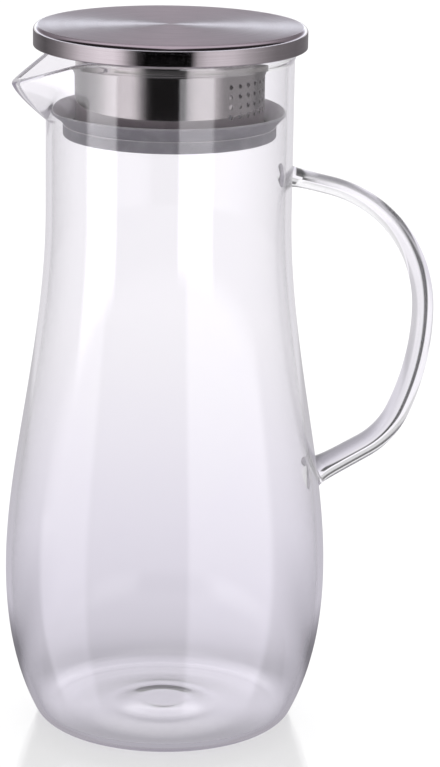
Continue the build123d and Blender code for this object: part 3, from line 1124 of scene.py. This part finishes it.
def drum_mesh(lid):
    """Mesh of the strainer drum, with each hole cut through its sheet."""
    grid = DrumGrid(lid)
    points = [point for row in grid.rows for point in row]
    faces = grid.plain_faces()
    for row in range(lid.hole_rows):
        for column in range(lid.hole_columns):
            loop = grid.cell_loop(row, column)
            size, begin = len(loop), len(points)
            height = lid.base - lid.hole_first_depth - row * lid.hole_row_pitch
            middle = -grid.field / 2 + grid.pitch * (column + 0.5)
            rings = hole_rings(lid, grid.outer, grid.inner, middle, height, size)
            points.extend(point for ring in rings for point in ring)
            lines = [[grid.point(level, side) for level, side in loop]]
            lines += [range(begin + size * k, begin + size * (k + 1)) for k in range(len(rings))]
            lines.append([grid.point(grid.inner_top - level, side) for level, side in loop])
            for upper, lower in zip(lines, lines[1:]):
                for i in range(size):
                    j = (i + 1) % size
                    faces.append((upper[i], upper[j], lower[j], lower[i]))
    return finished_mesh("drum_steel", points, faces, sharp=30.0)


def hole_rings(lid, outer, inner, middle, height, size):
    """Rings of points through one punched hole, from outside to inside, with rounded edges."""
    hole, burr = lid.hole_diameter / 2, lid.hole_burr
    flat, round_part, first_turn = burr * 1.8, burr * 0.3, 0.75 * pi
    steps = [(hole + flat, outer), (hole + burr, outer), (hole + round_part, outer - round_part)]
    steps += [(hole, outer - burr), (hole, inner + burr), (hole + round_part, inner + round_part)]
    steps += [(hole + burr, inner), (hole + flat, inner)]
    rings = []
    for radius, depth in steps:
        ring = []
        for around in even_angles(size):
            turn = middle + asin(radius * cos(first_turn - around) / outer)
            rise = radius * sin(first_turn - around)
            ring.append((depth * cos(turn), depth * sin(turn), height + rise))
        rings.append(ring)
    return rings


def seal_mesh(seal, lid):
    """Mesh of the soft ring clipped over the drum's foot."""
    inner = lid.flange_radius - seal.grip
    groove = lid.flange_radius + seal.running_fit
    band = groove + seal.cover
    groove_top = lid.drum_foot + lid.drum_sheet + seal.running_fit
    groove_foot = lid.drum_foot - seal.running_fit
    band_top = seal.foot + seal.band_height
    corners = [
        (inner, groove_top),
        (inner, groove_top + seal.dish_rim),
        (seal.lip_radius - seal.lip_edge / 2, seal.lip_height),
        (seal.lip_radius, seal.lip_height - seal.lip_edge),
        (band - seal.notch, band_top),
        (band, band_top - seal.notch),
        (band, seal.foot),
        (inner, seal.foot),
        (inner, groove_foot),
        (groove, groove_foot),
        (groove, groove_top),
    ]
    edge = seal.edge
    radii = [edge, edge, edge, edge, 0.0, edge / 2, seal.band_round, edge, edge, edge / 2, edge / 2]
    rows = turned_rows(rounded(corners, radii), even_angles(seal.columns))
    return skin("seal_soft", rows, ring=True)


class PITCHER_OT_jug(bpy.types.Operator):
    """Build the blown glass body with its pulled spout"""

    bl_idname = "object.pitcher_jug"
    bl_label = "Glass body"

    def execute(self, context):
        mesh = jug_mesh(context.scene.pitcher.glass)
        add_piece("jug_glass", mesh, "clear_glass", "jug", "glass_body")
        return {"FINISHED"}


class PITCHER_OT_handle(bpy.types.Operator):
    """Build the handle of bent glass rod"""

    bl_idname = "object.pitcher_handle"
    bl_label = "Glass handle"

    def execute(self, context):
        settings = context.scene.pitcher
        mesh = handle_mesh(settings.handle, settings.glass)
        add_piece("handle_glass", mesh, "clear_glass", "jug", "glass_handle")
        return {"FINISHED"}


class PITCHER_OT_lid(bpy.types.Operator):
    """Build the brushed cap and the plate under it"""

    bl_idname = "object.pitcher_lid"
    bl_label = "Lid"

    def execute(self, context):
        lid = context.scene.pitcher.lid
        add_piece("cap_steel", cap_mesh(lid), "brushed_steel", "lid", "lid_cap")
        plate = underplate_mesh(lid)
        add_piece("underplate_steel", plate, "polished_steel", "lid", "lid_underplate")
        return {"FINISHED"}


class PITCHER_OT_drum(bpy.types.Operator):
    """Build the punched strainer drum"""

    bl_idname = "object.pitcher_drum"
    bl_label = "Strainer drum"

    def execute(self, context):
        mesh = drum_mesh(context.scene.pitcher.lid)
        add_piece("drum_steel", mesh, "polished_steel", "lid", "strainer_drum")
        return {"FINISHED"}


class PITCHER_OT_seal(bpy.types.Operator):
    """Build the soft seal ring"""

    bl_idname = "object.pitcher_seal"
    bl_label = "Seal ring"

    def execute(self, context):
        settings = context.scene.pitcher
        mesh = seal_mesh(settings.seal, settings.lid)
        add_piece("seal_soft", mesh, "grey_silicone", "seal", "seal_ring")
        return {"FINISHED"}


class Studio:
    """Directions or places on the floor as the camera sees them, with the panels round them."""

    def __init__(self, nodes, x, y, turn):
        self.nodes = nodes
        self.front = x * sin(turn) - y * cos(turn)
        self.right = x * cos(turn) + y * sin(turn)
        self.aside = nodes.math("ABSOLUTE", self.right)
        self.around = nodes.math("ARCTAN2", self.right, self.front)

    def ring(self, panels, spread=1.0):
        """Level of a ring of panels, turned away from the front where the spread is under 1."""
        stops = [((degrees + 180) / 360, level) for degrees, level in panels]
        return self.nodes.levels(self.around / spread / (2 * pi) + 0.5, stops)


class Rays:
    """Masks for rays that steel, glass or the drum's inside mirrored, or that glass let through."""

    def __init__(self, nodes):
        self.path = nodes.add("ShaderNodeLightPath")
        passes, mirrors = self.path["Transmission Depth"], self.path["Glossy Depth"]
        self.bounced = mirrors > ANY
        self.wet = passes > ANY
        self.through = passes > BOTH_WALLS
        self.thin = self.wet * (1.0 - self.through)
        self.deep = (mirrors > SEVERAL) * self.through
        self.glassy = self.bounced * self.path["Is Singular Ray"] * (1.0 - self.through)


def light_surroundings(stage):
    """White surroundings, with soft panels and dark gaps for what is mirrored or bent."""
    world = bpy.data.worlds.new("studio")
    bpy.context.scene.world = world
    world.use_nodes = True
    nodes = Nodes(world.node_tree)
    x, y, z = nodes.axes(nodes.add("ShaderNodeTexCoord")["Generated"])
    studio = Studio(nodes, x, y, stage.camera_turn)
    rays = Rays(nodes)

    # What steel mirrors: a ring of panels, white behind the pitcher, and a ceiling with a dark gap
    behind = nodes.ramp(studio.front, *SKY_BEHIND)
    on_steel = studio.ring(MIRRORED_PANELS)
    on_steel = pick(behind, on_steel, 1.0 - SKY_BEHIND_DRUM_DIM * rays.through)
    gap = nodes.ramp(studio.front + LID_GAP_ASIDE * studio.aside, *LID_GAP_FRONT)
    gap = gap * nodes.ramp(z, *LID_GAP_RISE)
    over_lid = pick(gap, nodes.levels(z, LID_CEILING), LID_GAP_LEVEL)
    above = pick(rays.wet, over_lid, nodes.levels(z, BASE_CEILING))
    on_steel = pick(nodes.ramp(z, *CEILING_RISE), on_steel, above)

    # What glass mirrors, and what thin glass bends: the upper and lower runs of the handle
    on_glass = pick((1.0 - rays.wet) * behind, studio.ring(BODY_PANELS), 1.0)
    upper_run = nodes.ramp(studio.right, *UPPER_RUN_RIGHT) * nodes.ramp(z, *UPPER_RUN_RISE)
    lower_run = nodes.ramp(studio.right, *LOWER_RUN_LEFT) * nodes.ramp(z, *LOWER_RUN_RISE)
    bent = 1.0 - ROD_EDGE_DIM * nodes.ramp(z, *ROD_EDGE_RISE)
    bent = bent * (1.0 - UPPER_RUN_DIM * upper_run)
    lower_dim = LOWER_RUN_DIM + LOWER_LINE_DIM * nodes.ramp(z, *LOWER_LINE_RISE)
    bent = bent * (1.0 - lower_run * lower_dim)

    scattered = rays.path["Diffuse Depth"] > ANY
    soft_light = SOFT_SKY - SOFT_SKY_DIM * nodes.ramp(studio.front, *SOFT_SKY_FRONT)
    level = pick(rays.thin, 1.0, bent)
    level = pick(rays.bounced, level, on_steel)
    level = pick(rays.glassy, level, on_glass)
    level = pick(rays.deep, level, DEEP_SKY)
    level = pick(scattered, level, soft_light)
    tint = nodes.blend(nodes.ramp(z, *TINT_RISE), LOW_TINT, HIGH_TINT)
    on_dry_steel = rays.bounced * (1.0 - rays.wet) * (1.0 - rays.glassy)
    tone = nodes.blend(on_dry_steel * nodes.ramp(z, *STEEL_SKY_RISE), WHITE, tint)
    light = {"Color": nodes.scale(tone, level), "Strength": 1.0}
    background = nodes.add("ShaderNodeBackground", None, light)["Background"]
    nodes.add("ShaderNodeOutputWorld", None, {"Surface": background})


def floor_finish(stage, colour_of_floor):
    """Pale board, with a painted glowing level of its own for what the pitcher mirrors, bends or
    lets through: painted reflections and painted shade of the jug.
    """
    finish, nodes = new_finish("studio_floor_finish")
    spot = nodes.place()
    x, y, _ = nodes.axes(spot)
    reach = from_axis(x, y)
    studio = Studio(nodes, x, y, stage.camera_turn)
    rays = Rays(nodes)
    run = rays.path["Ray Length"]
    far = nodes.ramp(reach, *FAR_FLOOR)
    spread = 1.0 - RING_PULL / reach
    clouding = nodes.noise(spot, scale=3.0) * FLOOR_CLOUDING
    board = nodes.surface({
        "Base Color": nodes.blend(clouding, tuple(colour_of_floor), CLOUDED_FLOOR),
        "Roughness": 0.0,
        "IOR": 3.6,
        "Emission Color": nodes.blend(rays.path["Is Camera Ray"], BLACK, WHITE),
        "Emission Strength": 0.38,
    })

    # Seen straight through the jug, with painted shade making the sides darker and the front near
    # the base darker
    sides = nodes.ramp(studio.aside, *OUTER_SIDES) * nodes.ramp(reach, *OUTER_SIDES_REACH)
    front = nodes.ramp(studio.front, *NEAR_SIDE) * nodes.ramp(reach, *NEAR_SIDE_REACH)
    dim = OUTER_SIDES_DIM * sides + NEAR_SIDE_DIM * front
    level = nodes.levels(reach, FLOOR_LEVELS) * (1.0 - dim)

    # Painted reflection of the panels, mirrored by the glass of the body and of the neck, which a
    # ray's length tells apart, with painted shade under the jug and on its far side
    on_body = studio.ring(BODY_PANELS, spread)
    on_body = pick(nodes.ramp(reach, *UNDER_JUG), UNDER_JUG_LEVEL, on_body)
    back = nodes.ramp(studio.front, *FAR_SIDE) * nodes.ramp(reach, *FAR_SIDE_REACH)
    on_body = on_body * (1.0 - FAR_SIDE_DIM * back)
    on_neck = nodes.ramp(run - reach, *NECK_RUN) * far
    on_glass = pick(on_neck, on_body, studio.ring(NECK_PANELS, spread))

    # Bent by thin glass, where the height that a ray comes from tells the runs of the handle apart;
    # these levels are painted light and shade along the handle's rod
    on_right = nodes.ramp(studio.right, *HANDLE_RIGHT)
    from_height = run * run - reach * reach
    low_run = nodes.ramp(from_height + LOW_RUN_RIGHT * studio.right, *LOW_RUN)
    low_run = low_run * nodes.ramp(reach, *LOW_RUN_NEAR)
    top_run = nodes.ramp(from_height, *TOP_RUN) * on_right
    bent = studio.ring(BENT_PANELS) * (1.0 - ROD_MIDDLE_DIM * nodes.ramp(reach, *ROD_MIDDLE))
    bent = pick(low_run, bent, LOW_RUN_LEVEL + LOW_RUN_RISE * nodes.ramp(reach, *LOW_RUN_REACH))
    bent = pick(top_run, bent, TOP_RUN_LEVEL + TOP_RUN_RISE * nodes.ramp(reach, *TOP_RUN_REACH))
    bent = pick(nodes.ramp(reach - RIGHT_FAR_OFF * on_right, *FAR_OFF), 1.0, bent)
    bent = pick(nodes.ramp(reach, *ROD_NEAR), ROD_NEAR_LEVEL, bent)

    # Painted reflection of the floor in steel, with painted shade making the drum's right side
    # dimmer
    on_drum = rays.through * nodes.ramp(studio.right / reach, *DRUM_SIDE)
    on_steel = pick(on_drum, studio.ring(MIRRORED_PANELS, spread), DRUM_SIDE_LEVEL)
    on_steel = pick(far, NEAR_STEEL_LEVEL, on_steel)

    level = pick(rays.thin, level, bent)
    level = pick(rays.bounced, level, on_steel)
    level = pick(rays.glassy, level, on_glass)
    level = pick(rays.deep, level, DEEP_FLOOR)
    # Painted lavender shade, stronger near the jug's axis
    shade = nodes.blend(nodes.ramp(reach, *SHADE_REACH), NEAR_SHADE, FAR_SHADE)
    light = {"Color": nodes.scale(shade, level), "Strength": 1.0}
    # The floor's painted glow, shown only to rays that the pitcher mirrored or let through
    glow = nodes.add("ShaderNodeEmission", None, light)["Emission"]
    seen_in_pitcher = nodes.math("MAXIMUM", rays.bounced, rays.path["Is Transmission Ray"])
    nodes.output({"Surface": nodes.either(seen_in_pitcher, board, glow)})
    return finish


def lay_floor(stage, colour_of_floor):
    """Pale glossy floor, white to the camera, that keeps the pitcher's shadow and reflection."""
    half = stage.floor_size / 2
    low = -stage.floor_drop
    corners = [(-half, -half, low), (half, -half, low), (half, half, low), (-half, half, low)]
    mesh = finished_mesh("studio_floor", corners, [(0, 1, 2, 3)], sharp=30.0)
    floor = bpy.data.objects.new("studio_floor", mesh)
    bpy.context.scene.collection.objects.link(floor)
    mesh.materials.append(floor_finish(stage, colour_of_floor))


def hang_lamp(name, turn, distance, height, width, tall, power):
    """Soft panel lamp that faces the pitcher and shows in nothing."""
    lamp = bpy.data.lights.new(name, "AREA")
    lamp.shape = "RECTANGLE"
    lamp.size, lamp.size_y, lamp.energy = width, tall, power
    panel = bpy.data.objects.new(name, lamp)
    bpy.context.scene.collection.objects.link(panel)
    spot = Vector((distance * sin(turn), -distance * cos(turn), height))
    facing = (LAMP_AIM - spot).to_track_quat("-Z", "Y")
    panel.matrix_world = Matrix.Translation(spot) @ facing.to_matrix().to_4x4()
    panel.visible_camera = panel.visible_glossy = panel.visible_transmission = False


def set_camera(stage):
    """Camera at the height, distance and tilt of the view in the photograph."""
    view = bpy.data.cameras.new("photo_view")
    view.lens = stage.lens
    camera = bpy.data.objects.new("photo_view", view)
    bpy.context.scene.collection.objects.link(camera)
    turn, distance = stage.camera_turn, stage.camera_distance
    spot = (distance * sin(turn), -distance * cos(turn), stage.camera_height)
    aim = Matrix.Rotation(turn - stage.camera_yaw, 4, "Z")
    aim = aim @ Matrix.Rotation(pi / 2 - stage.camera_pitch, 4, "X")
    aim = aim @ Matrix.Rotation(stage.camera_roll, 4, "Z")
    camera.matrix_world = Matrix.Translation(spot) @ aim
    bpy.context.scene.camera = camera


class PITCHER_OT_stage(bpy.types.Operator):
    """Set up the floor, the light and the camera"""

    bl_idname = "object.pitcher_stage"
    bl_label = "Stage"

    def execute(self, context):
        settings = context.scene.pitcher
        stage = settings.stage
        context.scene.view_settings.view_transform = "Standard"
        light_surroundings(stage)
        lay_floor(stage, settings.finish.floor)
        for name, degrees, *sizes in LAMPS:
            hang_lamp(name, stage.camera_turn + radians(degrees), *sizes)
        set_camera(stage)
        return {"FINISHED"}


class PITCHER_PT_panel(bpy.types.Panel):
    """Lists the pitcher's pieces"""

    bl_idname = "PITCHER_PT_panel"
    bl_label = "Glass pitcher"
    bl_space_type = "VIEW_3D"
    bl_region_type = "UI"
    bl_category = "Pitcher"

    def draw(self, context):
        for operator in OPERATORS:
            self.layout.operator(operator.bl_idname)


OPERATORS = (
    PITCHER_OT_jug,
    PITCHER_OT_handle,
    PITCHER_OT_lid,
    PITCHER_OT_drum,
    PITCHER_OT_seal,
    PITCHER_OT_stage,
)
CLASSES = (
    PitcherGlassSizes,
    PitcherHandleSizes,
    PitcherLidSizes,
    PitcherSealSizes,
    PitcherFinishes,
    PitcherStageSizes,
    PitcherSettings,
    *OPERATORS,
    PITCHER_PT_panel,
)


def register():
    for entry in CLASSES:
        bpy.utils.register_class(entry)
    bpy.types.Scene.pitcher = PointerProperty(type=PitcherSettings)


def unregister():
    del bpy.types.Scene.pitcher
    for entry in reversed(CLASSES):
        bpy.utils.unregister_class(entry)


def main():
    register()
    bpy.ops.object.pitcher_jug()
    bpy.ops.object.pitcher_handle()
    bpy.ops.object.pitcher_lid()
    bpy.ops.object.pitcher_drum()
    bpy.ops.object.pitcher_seal()
    bpy.ops.object.pitcher_stage()
    bpy.context.view_layer.update()


if __name__ == "__main__":
    main()
